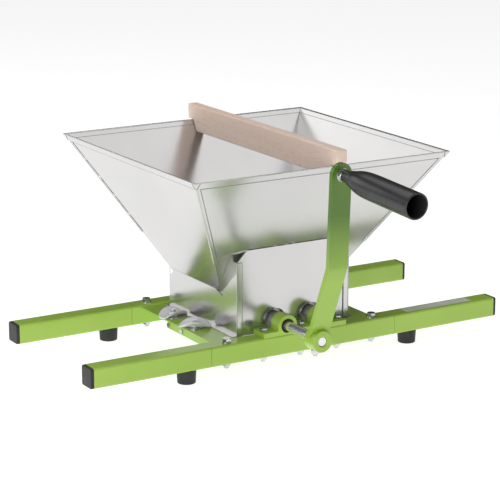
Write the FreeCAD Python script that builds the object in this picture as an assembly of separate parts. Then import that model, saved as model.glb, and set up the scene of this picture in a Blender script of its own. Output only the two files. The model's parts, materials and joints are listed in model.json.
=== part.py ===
"""Hand-cranked twin-roller fruit and grape crusher, one STEP file per piece.

Millimetres. +X runs along the two carrying rails, +Y points away from the crank, +Z is up.
The model is drawn about the middle of the frame with the feet standing on z = 0, and each
piece is moved on export so that the origin is the bottom centre of the whole machine's box.
"""
import FreeCAD, Part
import math
import os

V = FreeCAD.Vector
Y_AXIS = V(0, 1, 0)
Z_AXIS = V(0, 0, 1)

# ---- driving dimensions: frame ----
tube_side = 25.0            # square tube of the rails and extension arms
tube_wall = 1.5
tube_corner = 2.4           # outer corner radius
rail_spacing = 206.0        # centre line to centre line
rail_length = 268.0         # fixed centre section
arm_length = 158.0          # each pull-on extension arm, without its cap
seam_gap = 0.4              # between a rail and its arm
spigot_clearance = 0.2      # between a spigot and the tube round it
spigot_wall = 1.5
spigot_in_rail = 42.0
spigot_in_arm = 18.0
cap_thickness = 4.0
cap_plug_depth = 12.0
foot_height = 17.0
foot_top_radius = 12.2
foot_bottom_radius = 11.2
foot_from_seam = 28.3       # along the arm
foot_recess_radius = 5.0
foot_recess_depth = 8.0
foot_screw_radius = 2.0
foot_screw_head = 4.2
foot_screw_head_height = 2.5
foot_screw_bite = 5.5       # how far the screw goes up into the arm

# ---- driving dimensions: cross plates ----
plate_drop = 2.0            # plate top below rail top
plate_thickness = 2.0
left_plate_from_seam = 14.0     # outer edge of the plate, inward from the seam of rail and arm
right_plate_from_seam = 21.0
plate_inner_edge = 75.0
plate_flange_depth = 10.0
plate_flange_rear = 20.0    # the flange stops this far behind the middle
plate_screw_places = (17.0, -16.0)
plate_screw_radius = 2.0
plate_screw_head = 3.4
plate_screw_head_height = 1.6
plate_screw_drop = 5.5      # below the plate's top
plate_screw_bite = 3.0

# ---- driving dimensions: fasteners ----
bolt_radius = 3.0           # M6
bolt_clearance = 0.25
bolt_across_flats = 10.0
bolt_head_height = 4.0
nut_height = 5.0
washer_radius = 6.2
washer_thickness = 1.2
thread_past_nut = 3.0
arm_bolt_from_seam = 27.5

# ---- driving dimensions: rollers, gears and bearings ----
gear_module = 2.5
gear_teeth = 21
gear_width = 12.0
gear_backlash = 0.35
gear_hub_radius = 11.0
gear_hub_length = 8.0
gear_from_rail = 2.5
shaft_past_gear = 1.5
shaft_past_rail = 2.0       # front end of the driven shaft
axis_above_rail = 11.5
shaft_radius = 6.0
running_clearance = 0.06
fixed_clearance = 0.03      # between pieces that are pressed or clamped together
roller_gap = 2.5            # between the two rollers' flute tops
roller_flute_depth = 5.5
roller_flutes = 8
roller_end_gap = 10.5       # roller end to the rail's inner face
roller_groove_count = 6
roller_groove_width = 5.0
collar_radius = 11.2
collar_groove_gap = 0.6     # clearance of the groove in the bearing base under a collar
collar_hole_radius = 15.0
bearing_base_length = 120.0
bearing_base_thickness = 6.0
bearing_boss_radius = 13.5
bearing_boss_length = 17.5  # back from the rail's outer face
bearing_bolt_pitch = 54.0
bush_radius = 9.0
bush_flange_radius = 11.2
bush_flange_thickness = 1.5
end_play = 0.4
gear_screw_radius = 2.5
gear_screw_key = 2.5        # across the flats of its socket
gear_screw_socket = 1.5

# ---- driving dimensions: crank and grip ----
hub_radius = 13.5
hub_length = 22.0
hub_bore_chamfer = 0.9
hub_from_rail = 79.5        # front face, in front of the front rail
shaft_recess = 1.5
crank_arm_width = 27.0
crank_arm_thickness = 6.0
crank_throw = 212.5
crank_bend_height = 98.5    # above the shaft
crank_foot_offset = 14.0    # arm foot behind the hub's front face
crank_bend_offset = 28.0    # arm at the bend, in front of the hub's front face
crank_lean = 3.0            # degrees that the upper arm leans outwards
crank_bend_radius = 14.0
crank_saddle_height = 4.0   # the arm straddles the hub down to this far above the shaft's axis
hub_screw_radius = 3.0
hub_screw_from_front = 17.0
hub_screw_drop = 8.0        # screw end below the hub
handle_bolt_radius = 4.0    # M8
handle_nut_flats = 13.0
handle_nut_height = 5.0
handle_washer_radius = 8.0
handle_washer_thickness = 1.2
handle_bolt_head = 5.3
handle_bolt_past_nut = 2.0
grip_gap = 0.4
grip_length = 142.0
grip_radius = 15.7
grip_end_rounding = 0.8
grip_neck_radius = 7.4
grip_shoulder_radius = 9.4
grip_neck_length = 13.0
grip_taper_length = 48.0
grip_wall = 2.4
grip_floor = 44.0           # depth of the solid neck before the hollow starts

# ---- driving dimensions: hopper ----
sheet = 1.0
rim_height = 257.0
rim_half_length = 180.0     # along X
rim_half_width = 171.0      # along Y
hopper_offset_x = 2.5
hopper_offset_y = 16.0      # the hopper is set back so that the crank clears its rim
hem_width = 7.5
hem_reach = 1.8
funnel_from_rollers = 3.0   # open foot of the funnel above the flute tops
box_from_plate_edge = 37.8  # side panels, inward from the left plate's outer edge
box_front_gap = 4.5         # front panel to the front rail
box_rear_gap = 7.5          # rear panel to the rear rail
left_panel_top = 90.0
front_panel_top = 148.5
panel_chamfer = 15.0
corner_notch = 9.3          # clearance of the side panels to the front and rear sheets
notch_tip_drop = 7.0
notch_relief = 20.0
panel_flange = 7.5
panel_return = 42.0         # turned-in sides of the front panel, behind the corner notches
lip_width = 6.0
ear_half_width = 12.0
guide_gap = 2.6             # guide plate to roller
guide_from_funnel = 3.5     # guide plate's top below the funnel's foot
guide_flange = 15.0
guide_end_gap = 3.0
guide_edge_height = 6.0     # inner edge above the shafts' axis

# ---- driving dimensions: wing nuts, pusher bar, label ----
stud_radius = 3.0
stud_from_panel = 23.5
stud_head_radius = 4.5
stud_head_height = 2.5
stud_places = (32.0, -24.0)
stud_past_nut = 2.0
wing_hub_radius = 6.5
wing_hub_height = 7.0
wing_length = 13.0
wing_half_width = 9.0
wing_thickness = 2.2
wing_rise = 32.0            # degrees
wing_turns = (12.0, -30.0)  # resting angles of the rear and front nuts
bar_thickness = 14.0
bar_height = 35.0
bar_above_rim = 21.0
bar_overhang = 9.0
bar_side_gap = 1.0
bar_place = 18.0            # along X
label_length = 102.0
label_width = 15.0
label_thickness = 0.25
label_from_seam = 23.0

# ---- worked-out values ----
half_tube = tube_side / 2
rail_y = rail_spacing / 2
plate_half = rail_y - half_tube
rail_bottom = foot_height
rail_top = rail_bottom + tube_side
seam_x = rail_length / 2
left_plate_reach = seam_x - left_plate_from_seam
right_plate_reach = seam_x - right_plate_from_seam
box_half_length = left_plate_reach - box_from_plate_edge
box_front = plate_half - box_front_gap
box_rear = plate_half - box_rear_gap
arm_end = seam_x + seam_gap + arm_length
foot_x = seam_x + foot_from_seam
arm_bolt_x = seam_x - arm_bolt_from_seam
plate_top = rail_top - plate_drop
axis_z = rail_top + axis_above_rail
roller_x = gear_module * gear_teeth / 2
roller_radius = roller_x - roller_gap / 2
roller_root_radius = roller_radius - roller_flute_depth
roller_length = 2 * (plate_half - roller_end_gap)
funnel_bottom = axis_z + roller_radius + funnel_from_rollers
guide_top = funnel_bottom - guide_from_funnel
bolt_hole_radius = bolt_radius + bolt_clearance
funnel_slope_x = (rim_half_length - hopper_offset_x - box_half_length) / (rim_height - left_panel_top)
funnel_slope_y = (rim_half_width - hopper_offset_y - box_front) / (rim_height - front_panel_top)
right_panel_top = rim_height - (rim_half_length + hopper_offset_x - box_half_length) / funnel_slope_x
rear_panel_top = rim_height - (rim_half_width + hopper_offset_y - box_rear) / funnel_slope_y
bearing_front = rail_y + half_tube
bearing_back = plate_half
boss_back = bearing_front - bearing_boss_length
hub_front = bearing_front + hub_from_rail
grip_axis = V(0, -math.cos(math.radians(crank_lean)), -math.sin(math.radians(crank_lean)))
foot_y = -(hub_front - crank_foot_offset)
bend_y = -(hub_front + crank_bend_offset)
bend_z = axis_z + crank_bend_height
handle_z = axis_z + crank_throw
handle_y = bend_y - (handle_z - bend_z) * math.tan(math.radians(crank_lean))
handle_point = V(-roller_x, handle_y, handle_z)
grip_start = crank_arm_thickness / 2 + handle_washer_thickness + handle_nut_height + grip_gap
grip_tip = handle_point + grip_axis * (grip_start + grip_length)
machine_front = grip_tip.y - (grip_radius - grip_end_rounding) * math.sin(math.radians(crank_lean))
machine_rear = hopper_offset_y + rim_half_width + hem_reach + bar_overhang
origin_y = (machine_front + machine_rear) / 2
export_shift = V(0, -origin_y, 0)


# ---- shape helpers ----
def block(x0, x1, y0, y1, z0, z1):
    return Part.makeBox(x1 - x0, y1 - y0, z1 - z0, V(x0, y0, z0))


def rod(radius, start, direction, length):
    return Part.makeCylinder(radius, length, start, direction)


def ring(outer, inner, start, direction, length):
    return rod(outer, start, direction, length).cut(rod(inner, start, direction, length))


def prism(points, direction):
    """Closed outline of points, extruded along a vector."""
    outline = Part.makePolygon(points + [points[0]])
    return Part.Face(outline).extrude(direction)


def hexagon(flats, start, direction, height):
    """Hexagonal prism with its axis through start."""
    corner = flats / 2 / math.cos(math.pi / 6)
    points = [V(corner * math.cos(k * math.pi / 3), corner * math.sin(k * math.pi / 3), 0) for k in range(6)]
    shape = prism(points, V(0, 0, height))
    shape.Placement = FreeCAD.Placement(start, FreeCAD.Rotation(Z_AXIS, direction))
    return shape


def bevelled_hexagon(flats, start, direction, height):
    """Hexagon with its far corners turned off, as on a bolt head or nut."""
    corner = flats / 2 / math.cos(math.pi / 6)
    cone = Part.makeCone(corner + height, flats / 2 - 0.2, height + corner - flats / 2 + 0.2, V(0, 0, 0), Z_AXIS)
    cone.translate(V(0, 0, height - (height + corner - flats / 2 + 0.2)))
    cone.Placement = FreeCAD.Placement(start, FreeCAD.Rotation(Z_AXIS, direction)).multiply(cone.Placement)
    return hexagon(flats, start, direction, height).common(cone)


def hull_of_corners(lower, upper):
    """Solid between a lower and an upper four-cornered loop."""
    faces = [lower, upper]
    for k in range(4):
        n = (k + 1) % 4
        faces.append([lower[k], lower[n], upper[n], upper[k]])
    shells = [Part.Face(Part.makePolygon(f + [f[0]])) for f in faces]
    solid = Part.makeSolid(Part.makeShell(shells))
    if solid.Volume < 0:
        solid.reverse()
    return solid


def revolve_about(points, start, direction):
    """Closed outline of (distance along, radius) pairs, turned about an axis."""
    outline = [V(radius, 0, along) for along, radius in points]
    shape = Part.Face(Part.makePolygon(outline + [outline[0]])).revolve(V(0, 0, 0), Z_AXIS, 360)
    shape.Placement = FreeCAD.Placement(start, FreeCAD.Rotation(Z_AXIS, direction))
    return shape


def square_tube(x0, x1, y, side, wall, corner):
    """Tube along X, sitting on the rails' height, with rounded long edges."""
    outer = rounded_bar(x0, x1, y, side, corner)
    return outer.cut(rounded_bar(x0, x1, y, side - 2 * wall, max(corner - wall, 0.4)))


def rounded_bar(x0, x1, y, side, corner):
    middle = rail_bottom + half_tube
    shape = block(x0, x1, y - side / 2, y + side / 2, middle - side / 2, middle + side / 2)
    long_edges = [e for e in shape.Edges if abs(e.tangentAt(e.FirstParameter).x) > 0.9]
    return shape.makeFillet(corner, long_edges)


def bolt_down(x, y, under_head, tip):
    """Bolt standing head up: hexagonal head on top and shank down to its tip."""
    head = bevelled_hexagon(bolt_across_flats, V(x, y, under_head), Z_AXIS, bolt_head_height)
    shank = rod(bolt_radius, V(x, y, tip), Z_AXIS, under_head - tip)
    return head.fuse(shank).removeSplitter()


def nut_below(x, y, top):
    nut = bevelled_hexagon(bolt_across_flats, V(x, y, top), Z_AXIS * -1, nut_height)
    return nut.cut(rod(bolt_radius + fixed_clearance, V(x, y, top), Z_AXIS * -1, nut_height))


def washer_at(x, y, bottom):
    return ring(washer_radius, bolt_radius + bolt_clearance, V(x, y, bottom), Z_AXIS, washer_thickness)


os.makedirs("parts", exist_ok=True)


def save(name, shapes):
    """Write one piece, or a group of separate identical pieces, to its STEP file."""
    group = shapes if isinstance(shapes, list) else [shapes]
    solids = [solid for shape in group for solid in shape.Solids]
    whole = solids[0] if len(solids) == 1 else Part.makeCompound(solids)
    whole = whole.copy()
    whole.translate(export_shift)
    whole.exportStep("parts/" + name + ".step")


# ---- frame: rails, arms, spigots, caps ----
for depth, y in (("front", -rail_y), ("rear", rail_y)):
    rail = square_tube(-seam_x, seam_x, y, tube_side, tube_wall, tube_corner)
    places = [-arm_bolt_x, arm_bolt_x, -bearing_bolt_pitch, 0.0, bearing_bolt_pitch]
    for x in places:
        rail = rail.cut(rod(bolt_hole_radius, V(x, y, rail_bottom - 1), Z_AXIS, tube_side + 2))
    save(depth + "_rail", rail)

spigot_side = tube_side - 2 * tube_wall - 2 * spigot_clearance
spigots = []
end_caps = []
foot_screws = []
for depth, y in (("front", -rail_y), ("rear", rail_y)):
    for side, sign in (("left", -1), ("right", 1)):
        ends = sorted((sign * (seam_x + seam_gap), sign * arm_end))
        arm = square_tube(ends[0], ends[1], y, tube_side, tube_wall, tube_corner)
        screw_x = sign * foot_x
        arm = arm.cut(rod(foot_screw_radius + 0.1, V(screw_x, y, rail_bottom - 1), Z_AXIS, tube_wall + 2))
        save(depth + "_" + side + "_arm", arm)

        ends = sorted((sign * (seam_x - spigot_in_rail), sign * (seam_x + spigot_in_arm)))
        spigot = square_tube(ends[0], ends[1], y, spigot_side, spigot_wall, 1.2)
        spigot = spigot.cut(rod(bolt_hole_radius, V(sign * arm_bolt_x, y, rail_bottom), Z_AXIS, tube_side))
        spigots.append(spigot)

        ends = sorted((sign * arm_end, sign * (arm_end + cap_thickness)))
        cap = rounded_bar(ends[0], ends[1], y, tube_side, 3.0)
        outer_edges = [e for e in cap.Edges if abs(e.CenterOfMass.x - sign * (arm_end + cap_thickness)) < 0.01]
        cap = cap.makeFillet(1.2, outer_edges)
        ends = sorted((sign * arm_end, sign * (arm_end - cap_plug_depth)))
        end_caps.append(cap.fuse(rounded_bar(ends[0], ends[1], y, spigot_side, 1.2)))

        foot = Part.makeCone(foot_bottom_radius, foot_top_radius, foot_height, V(screw_x, y, 0), Z_AXIS)
        bottom_edge = [e for e in foot.Edges if e.CenterOfMass.z < 0.01]
        foot = foot.makeFillet(1.0, bottom_edge)
        foot = foot.cut(rod(foot_recess_radius, V(screw_x, y, 0), Z_AXIS, foot_recess_depth))
        foot = foot.cut(rod(foot_screw_radius + 0.1, V(screw_x, y, 0), Z_AXIS, foot_height))
        save(depth + "_" + side + "_foot", foot)

        head_bottom = V(screw_x, y, foot_recess_depth - foot_screw_head_height)
        head = rod(foot_screw_head, head_bottom, Z_AXIS, foot_screw_head_height)
        shank = rod(foot_screw_radius, head_bottom, Z_AXIS, rail_bottom + foot_screw_bite - head_bottom.z)
        foot_screws.append(head.fuse(shank).removeSplitter())
save("arm_spigots", spigots)
save("end_caps", end_caps)
save("foot_screws", foot_screws)

# ---- cross plates between the rails ----
plate_bottom = plate_top - plate_thickness
plate_screws = []
for side, sign, reach in (("left", -1, left_plate_reach), ("right", 1, right_plate_reach)):
    edges = sorted((sign * plate_inner_edge, sign * reach))
    plate = block(edges[0], edges[1], -plate_half, plate_half, plate_bottom, plate_top)
    flange = sorted((sign * reach, sign * (reach - plate_thickness)))
    plate = plate.fuse(block(flange[0], flange[1], -plate_half, plate_flange_rear,
                             plate_top - plate_flange_depth, plate_bottom))
    screw_z = plate_top - plate_screw_drop
    for y in plate_screw_places:
        inner = V(sign * (reach - plate_thickness - plate_screw_bite), y, screw_z)
        outward = V(sign, 0, 0)
        plate = plate.cut(rod(plate_screw_radius + 0.1, inner, outward, plate_thickness + 6))
        shank = rod(plate_screw_radius, inner, outward, plate_thickness + plate_screw_bite + 0.5)
        head = rod(plate_screw_head, V(sign * reach, y, screw_z), outward, plate_screw_head_height)
        plate_screws.append(shank.fuse(head).removeSplitter())
    for y in stud_places:
        x = sign * (box_half_length + stud_from_panel)
        plate = plate.cut(rod(stud_radius + fixed_clearance, V(x, y, plate_bottom - 1), Z_AXIS, plate_thickness + 2))
    save(side + "_cross_plate", plate.removeSplitter())
save("plate_screws", plate_screws)

# ---- bolts that hold the spigots ----
bolt_tip = rail_bottom - nut_height - thread_past_nut
corners = [(sx * arm_bolt_x, sy * rail_y) for sx in (-1, 1) for sy in (-1, 1)]
save("arm_bolts", [bolt_down(x, y, rail_top + washer_thickness, bolt_tip) for x, y in corners])
save("arm_washers", [washer_at(x, y, rail_top) for x, y in corners])
save("arm_nuts", [nut_below(x, y, rail_bottom) for x, y in corners])

# ---- bearing brackets, their bushes and bolts ----
bearing_bolts = []
bearing_nuts = []
base_top = rail_top + bearing_base_thickness
for depth, sign in (("front", -1), ("rear", 1)):
    y0, y1 = sorted((sign * bearing_back, sign * bearing_front))
    boss0, boss1 = sorted((sign * boss_back, sign * bearing_front))
    bracket = block(-bearing_base_length / 2, bearing_base_length / 2, y0, y1, rail_top, base_top)
    for x in (-roller_x, roller_x):
        bracket = bracket.fuse(block(x - bearing_boss_radius, x + bearing_boss_radius, boss0, boss1, rail_top, axis_z))
        bracket = bracket.fuse(rod(bearing_boss_radius, V(x, boss0, axis_z), Y_AXIS, boss1 - boss0))
    above_rail = block(-bearing_base_length, bearing_base_length, y0, y1, rail_top, axis_z * 2)
    bracket = bracket.common(above_rail).removeSplitter()
    for x in (-roller_x, roller_x):
        bracket = bracket.cut(rod(bush_radius, V(x, y0 - 1, axis_z), Y_AXIS, y1 - y0 + 2))
        groove_end = V(x, sign * (bearing_back - 1), axis_z)
        bracket = bracket.cut(rod(collar_radius + collar_groove_gap, groove_end, V(0, sign, 0), boss_back - bearing_back + 1))
    for x in (-bearing_bolt_pitch, 0.0, bearing_bolt_pitch):
        bracket = bracket.cut(rod(bolt_hole_radius, V(x, sign * rail_y, rail_top - 1), Z_AXIS,
                                  bearing_base_thickness + 2))
        bearing_bolts.append(bolt_down(x, sign * rail_y, base_top, bolt_tip))
        bearing_nuts.append(nut_below(x, sign * rail_y, rail_bottom))
    save(depth + "_bearing_bracket", bracket)

    bushes = []
    for x in (-roller_x, roller_x):
        inward = V(0, -sign, 0)
        face = V(x, sign * boss_back, axis_z)
        bush = rod(bush_radius - fixed_clearance, V(x, sign * bearing_front, axis_z), inward, bearing_boss_length)
        bush = bush.fuse(rod(bush_flange_radius, face, inward, bush_flange_thickness)).removeSplitter()
        bore_length = bearing_boss_length + bush_flange_thickness
        bush = bush.cut(rod(shaft_radius + running_clearance, V(x, sign * bearing_front, axis_z), inward, bore_length))
        bushes.append(bush)
    save(depth + "_bushes", bushes)
save("bearing_bolts", bearing_bolts)
save("bearing_nuts", bearing_nuts)


# ---- rollers ----
def fluted_section(x, phase):
    """Outline of the roller: square-topped flutes round a core."""
    step = 2 * math.pi / roller_flutes
    points = []
    for k in range(roller_flutes):
        for share, radius in ((-0.30, roller_root_radius), (-0.17, roller_radius), (0.17, roller_radius),
                              (0.30, roller_root_radius)):
            angle = phase + (k + share) * step
            points.append(V(x + radius * math.cos(angle), 0, axis_z + radius * math.sin(angle)))
    return points


def roller_body(x, phase, groove_shift):
    half = roller_length / 2
    body = prism(fluted_section(x, phase), V(0, roller_length, 0))
    body.translate(V(0, -half, 0))
    pitch = roller_length / (roller_groove_count + 1)
    for k in range(roller_groove_count):
        middle = -half + (k + 1) * pitch + groove_shift
        start = V(x, middle - roller_groove_width / 2, axis_z)
        body = body.cut(ring(roller_radius + 2, roller_root_radius, start, Y_AXIS, roller_groove_width))
    return body.cut(rod(shaft_radius + fixed_clearance, V(x, -half - 1, axis_z), Y_AXIS, roller_length + 2))


def involute_gear(x, phase):
    """Spur gear with involute flanks, cut thinner by the backlash."""
    pitch_radius = gear_module * gear_teeth / 2
    base_radius = pitch_radius * math.cos(math.radians(20))
    tip_radius = pitch_radius + gear_module
    root_radius = pitch_radius - 1.25 * gear_module

    def roll(radius):
        turn = math.sqrt(max((radius / base_radius) ** 2 - 1, 0))
        return turn - math.atan(turn)

    half_pitch_tooth = (math.pi * gear_module / 2 - gear_backlash) / 2 / pitch_radius
    flank = []
    for k in range(6):
        radius = base_radius + (tip_radius - base_radius) * k / 5
        flank.append((radius, half_pitch_tooth + roll(pitch_radius) - roll(radius)))
    flank = [(root_radius, flank[0][1])] + flank
    points = []
    for k in range(gear_teeth):
        centre = phase + 2 * math.pi * k / gear_teeth
        for radius, half_angle in flank:
            points.append((radius, centre - half_angle))
        for radius, half_angle in reversed(flank):
            points.append((radius, centre + half_angle))
    outline = [V(x + r * math.cos(a), 0, axis_z + r * math.sin(a)) for r, a in points]
    return prism(outline, V(0, gear_width, 0))


gear_start = bearing_front + gear_from_rail
gear_hub_end = gear_start + gear_width + gear_hub_length
half_flute = math.pi / roller_flutes
half_tooth = math.pi / gear_teeth
# each row: body name, x, flute phase, gear phase, front end of the shaft
rotors = (
    ("drive", -roller_x, half_flute, half_tooth, -(hub_front - shaft_recess)),
    ("driven", roller_x, 0.0, math.pi, -(bearing_front + shaft_past_rail)),
)
for name, x, flute_phase, gear_phase, shaft_front in rotors:
    shaft_end = gear_hub_end + shaft_past_gear
    shaft = rod(shaft_radius, V(x, shaft_front, axis_z), Y_AXIS, shaft_end - shaft_front)
    end_edges = [e for e in shaft.Edges if abs(e.CenterOfMass.y - shaft_front) < 0.01 or
                 abs(e.CenterOfMass.y - shaft_end) < 0.01]
    save(name + "_shaft", shaft.makeChamfer(0.7, end_edges))
    save(name + "_roller", roller_body(x, flute_phase, 0.0 if name == "drive" else roller_groove_width))

    collars = []
    collar_reach = boss_back - bush_flange_thickness - end_play
    for sign in (-1, 1):
        start = V(x, sign * roller_length / 2, axis_z)
        length = collar_reach - roller_length / 2
        collars.append(ring(collar_radius, shaft_radius + fixed_clearance, start, V(0, sign, 0), length))
    save(name + "_collars", collars)

    gear = involute_gear(x, gear_phase)
    gear.translate(V(0, gear_start, 0))
    gear = gear.fuse(rod(gear_hub_radius, V(x, bearing_front + end_play, axis_z), Y_AXIS,
                         gear_hub_end - bearing_front - end_play))
    gear = gear.cut(rod(shaft_radius + fixed_clearance, V(x, bearing_front - 1, axis_z), Y_AXIS,
                        gear_hub_end - bearing_front + 2))
    screw_y = gear_start + gear_width + gear_hub_length / 2
    screw_base = V(x, screw_y, axis_z + shaft_radius)
    screw_length = gear_hub_radius - shaft_radius - 0.5
    gear = gear.cut(rod(gear_screw_radius + fixed_clearance, screw_base, Z_AXIS, screw_length + 3))
    save(name + "_gear", gear.removeSplitter())
    screw = rod(gear_screw_radius, screw_base + V(0, 0, 0.05), Z_AXIS, screw_length)
    socket = hexagon(gear_screw_key, screw_base + V(0, 0, screw_length - gear_screw_socket), Z_AXIS, 2 * gear_screw_socket)
    save(name + "_gear_screw", screw.cut(socket))

# ---- crank ----
hub_start = V(-roller_x, -hub_front, axis_z)
hub = rod(hub_radius, hub_start, Y_AXIS, hub_length)
hub_ends = [e for e in hub.Edges if e.Curve.TypeId == "Part::GeomCircle"]
hub = hub.makeChamfer(0.8, hub_ends)
hub = hub.cut(rod(shaft_radius + fixed_clearance, hub_start - Y_AXIS, Y_AXIS, hub_length + 2))
hub = hub.cut(Part.makeCone(shaft_radius + hub_bore_chamfer, shaft_radius, hub_bore_chamfer, hub_start, Y_AXIS))
screw_centre = V(-roller_x, -(hub_front - hub_screw_from_front), axis_z)
hub = hub.cut(rod(hub_screw_radius + fixed_clearance, screw_centre, Z_AXIS * -1, hub_radius + 2))
save("crank_hub", hub)

lock_nut_top = axis_z - hub_radius
nut = bevelled_hexagon(bolt_across_flats, screw_centre - V(0, 0, hub_radius), Z_AXIS * -1, nut_height)
nut = nut.cut(rod(hub_screw_radius + fixed_clearance, screw_centre, Z_AXIS * -1, hub_radius + nut_height + 1))
save("hub_lock_nut", nut)
screw_top = screw_centre - V(0, 0, shaft_radius + 0.05)
screw = rod(hub_screw_radius, screw_top, Z_AXIS * -1, hub_radius - shaft_radius + hub_screw_drop)
save("hub_set_screw", screw)

arm_half = crank_arm_thickness / 2
lean = math.radians(crank_lean)
lower_angle = math.atan2(foot_y - bend_y, bend_z - axis_z)
mitre = (lean + lower_angle) / 2
along_lower = V(0, -math.sin(lower_angle), math.cos(lower_angle))
along_upper = V(0, -math.sin(lean), math.cos(lean))
across_lower = V(0, -math.cos(lower_angle), -math.sin(lower_angle))
across_bend = V(0, -math.cos(mitre), -math.sin(mitre)) * (1 / math.cos((lower_angle - lean) / 2))
bend_point = V(0, bend_y, bend_z)
foot_point = V(0, foot_y, axis_z)
top_point = V(0, handle_y, handle_z) + along_upper * (crank_arm_width / 2)
outline = [
    foot_point - across_lower * arm_half,
    bend_point - across_bend * arm_half,
    top_point - grip_axis * arm_half,
    top_point + grip_axis * arm_half,
    bend_point + across_bend * arm_half,
    foot_point + across_lower * arm_half,
]
arm = prism(outline, V(crank_arm_width, 0, 0))
bend_edges = [e for e in arm.Edges if abs(e.tangentAt(e.FirstParameter).x) > 0.9 and
              abs(e.CenterOfMass.z - bend_z) < crank_arm_thickness]
arm = arm.makeFillet(crank_bend_radius, bend_edges)
arm.translate(V(-roller_x - crank_arm_width / 2, 0, 0))
through = grip_axis * (crank_arm_thickness * 2)
rounding = rod(crank_arm_width / 2, handle_point - through, grip_axis, crank_arm_thickness * 4)
top_zone = block(-roller_x - crank_arm_width, -roller_x + crank_arm_width, handle_y - crank_arm_width,
                 handle_y + crank_arm_width, handle_z, handle_z + 2 * crank_arm_width)
arm = arm.cut(top_zone.cut(rounding))
arm = arm.cut(rod(handle_bolt_radius + 0.1, handle_point - through, grip_axis, crank_arm_thickness * 4))
below_saddle = block(-roller_x - crank_arm_width, -roller_x + crank_arm_width, foot_y - hub_length, foot_y + hub_length,
                     axis_z - 2 * hub_radius, axis_z + crank_saddle_height)
arm = arm.cut(below_saddle)
arm = arm.cut(rod(hub_radius + fixed_clearance, hub_start - Y_AXIS * hub_length, Y_AXIS, 3 * hub_length))
save("crank_arm", arm)

# ---- handle: bolt, nuts, washers, grip ----
front_face = handle_point + grip_axis * arm_half
back_face = handle_point - grip_axis * arm_half
washers = []
nuts = []
for face, direction in ((front_face, grip_axis), (back_face, grip_axis * -1)):
    washers.append(ring(handle_washer_radius, handle_bolt_radius + 0.1, face, direction, handle_washer_thickness))
    nut_face = face + direction * handle_washer_thickness
    nut = bevelled_hexagon(handle_nut_flats, nut_face, direction, handle_nut_height)
    nuts.append(nut.cut(rod(handle_bolt_radius + fixed_clearance, nut_face, direction, handle_nut_height)))
save("handle_washers", washers)
save("handle_nuts", nuts)

grip_base = handle_point + grip_axis * grip_start
bolt_back = back_face - grip_axis * (handle_washer_thickness + handle_nut_height + handle_bolt_past_nut)
bolt_head = grip_base + grip_axis * (grip_floor + grip_gap)
shank_length = (bolt_head - bolt_back).Length
bolt = rod(handle_bolt_radius, bolt_back, grip_axis, shank_length)
save("handle_bolt", bolt.fuse(bevelled_hexagon(handle_nut_flats, bolt_head, grip_axis, handle_bolt_head)).removeSplitter())

bore = grip_radius - grip_wall
grip_outline = [
    (0, handle_bolt_radius + running_clearance),
    (0, grip_neck_radius - 0.8),
    (0.8, grip_neck_radius),
    (grip_neck_length, grip_neck_radius + 0.4),
    (grip_neck_length + 1.2, grip_shoulder_radius),
    (grip_neck_length + 8, grip_shoulder_radius + 1.4),
    (grip_taper_length - 10, grip_radius - 1.0),
    (grip_taper_length, grip_radius - 0.3),
    (grip_taper_length + 12, grip_radius),
    (grip_length - grip_end_rounding, grip_radius),
    (grip_length, grip_radius - grip_end_rounding),
    (grip_length, bore + 0.6),
    (grip_length - 0.8, bore),
    (grip_floor + 10, bore),
    (grip_floor, bore - 3.5),
    (grip_floor, handle_bolt_radius + running_clearance),
]
save("grip", revolve_about(grip_outline, grip_base, grip_axis))


# ---- hopper funnel: four sheets mitred at the corners ----
def funnel_corners(z, outset):
    """Corners of the funnel at a height, counted from the front left round to the rear left."""
    half_x = rim_half_length - (rim_height - z) * funnel_slope_x + outset
    half_y = rim_half_width - (rim_height - z) * funnel_slope_y + outset
    return [V(hopper_offset_x + sx * half_x, hopper_offset_y + sy * half_y, z)
            for sx, sy in ((-1, -1), (1, -1), (1, 1), (-1, 1))]


def funnel_side(k, low, high, inset, outset):
    """One side of the funnel between two heights and two horizontal offsets from its outer face."""
    n = (k + 1) % 4
    loops = []
    for z in (low, high):
        outer = funnel_corners(z, outset)
        inner = funnel_corners(z, inset)
        loops.append([outer[k], outer[n], inner[n], inner[k]])
    return hull_of_corners(loops[0], loops[1])


hem_bottom = rim_height - hem_width
for k, side in enumerate(("front", "right", "rear", "left")):
    wall = funnel_side(k, funnel_bottom, rim_height, -sheet, 0.0)
    hem = funnel_side(k, hem_bottom, rim_height, 0.0, hem_reach)
    save(side + "_funnel_sheet", wall.fuse(hem).removeSplitter())

# ---- hopper box: four panels standing on the cross plates ----
funnel = hull_of_corners(funnel_corners(funnel_bottom, 0.02), funnel_corners(rim_height, 0.02))
for side, sign, y_out, top in (("front", -1, box_front, front_panel_top), ("rear", 1, box_rear, rear_panel_top)):
    half = box_half_length - sheet - 0.05
    outline = [(-half, plate_top), (-half, top - panel_chamfer), (-half + panel_chamfer, top),
               (half - panel_chamfer, top), (half, top - panel_chamfer), (half, plate_top)]
    y = sign * y_out
    panel = prism([V(px, y, pz) for px, pz in outline], V(0, -sign * sheet, 0))
    for x in (-roller_x, roller_x):
        panel = panel.cut(rod(collar_hole_radius, V(x, y - 3, axis_z), Y_AXIS, 6))
    return_bottom = guide_top + sheet
    return_top = top - panel_chamfer
    if return_top > return_bottom:
        for x_sign in (-1, 1):
            x0, x1 = sorted((x_sign * half, x_sign * (half - sheet)))
            y0, y1 = sorted((y, sign * (y_out - panel_return)))
            panel = panel.fuse(block(x0, x1, y0, y1, return_bottom, return_top))
    save(side + "_panel", panel.cut(funnel))

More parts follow.
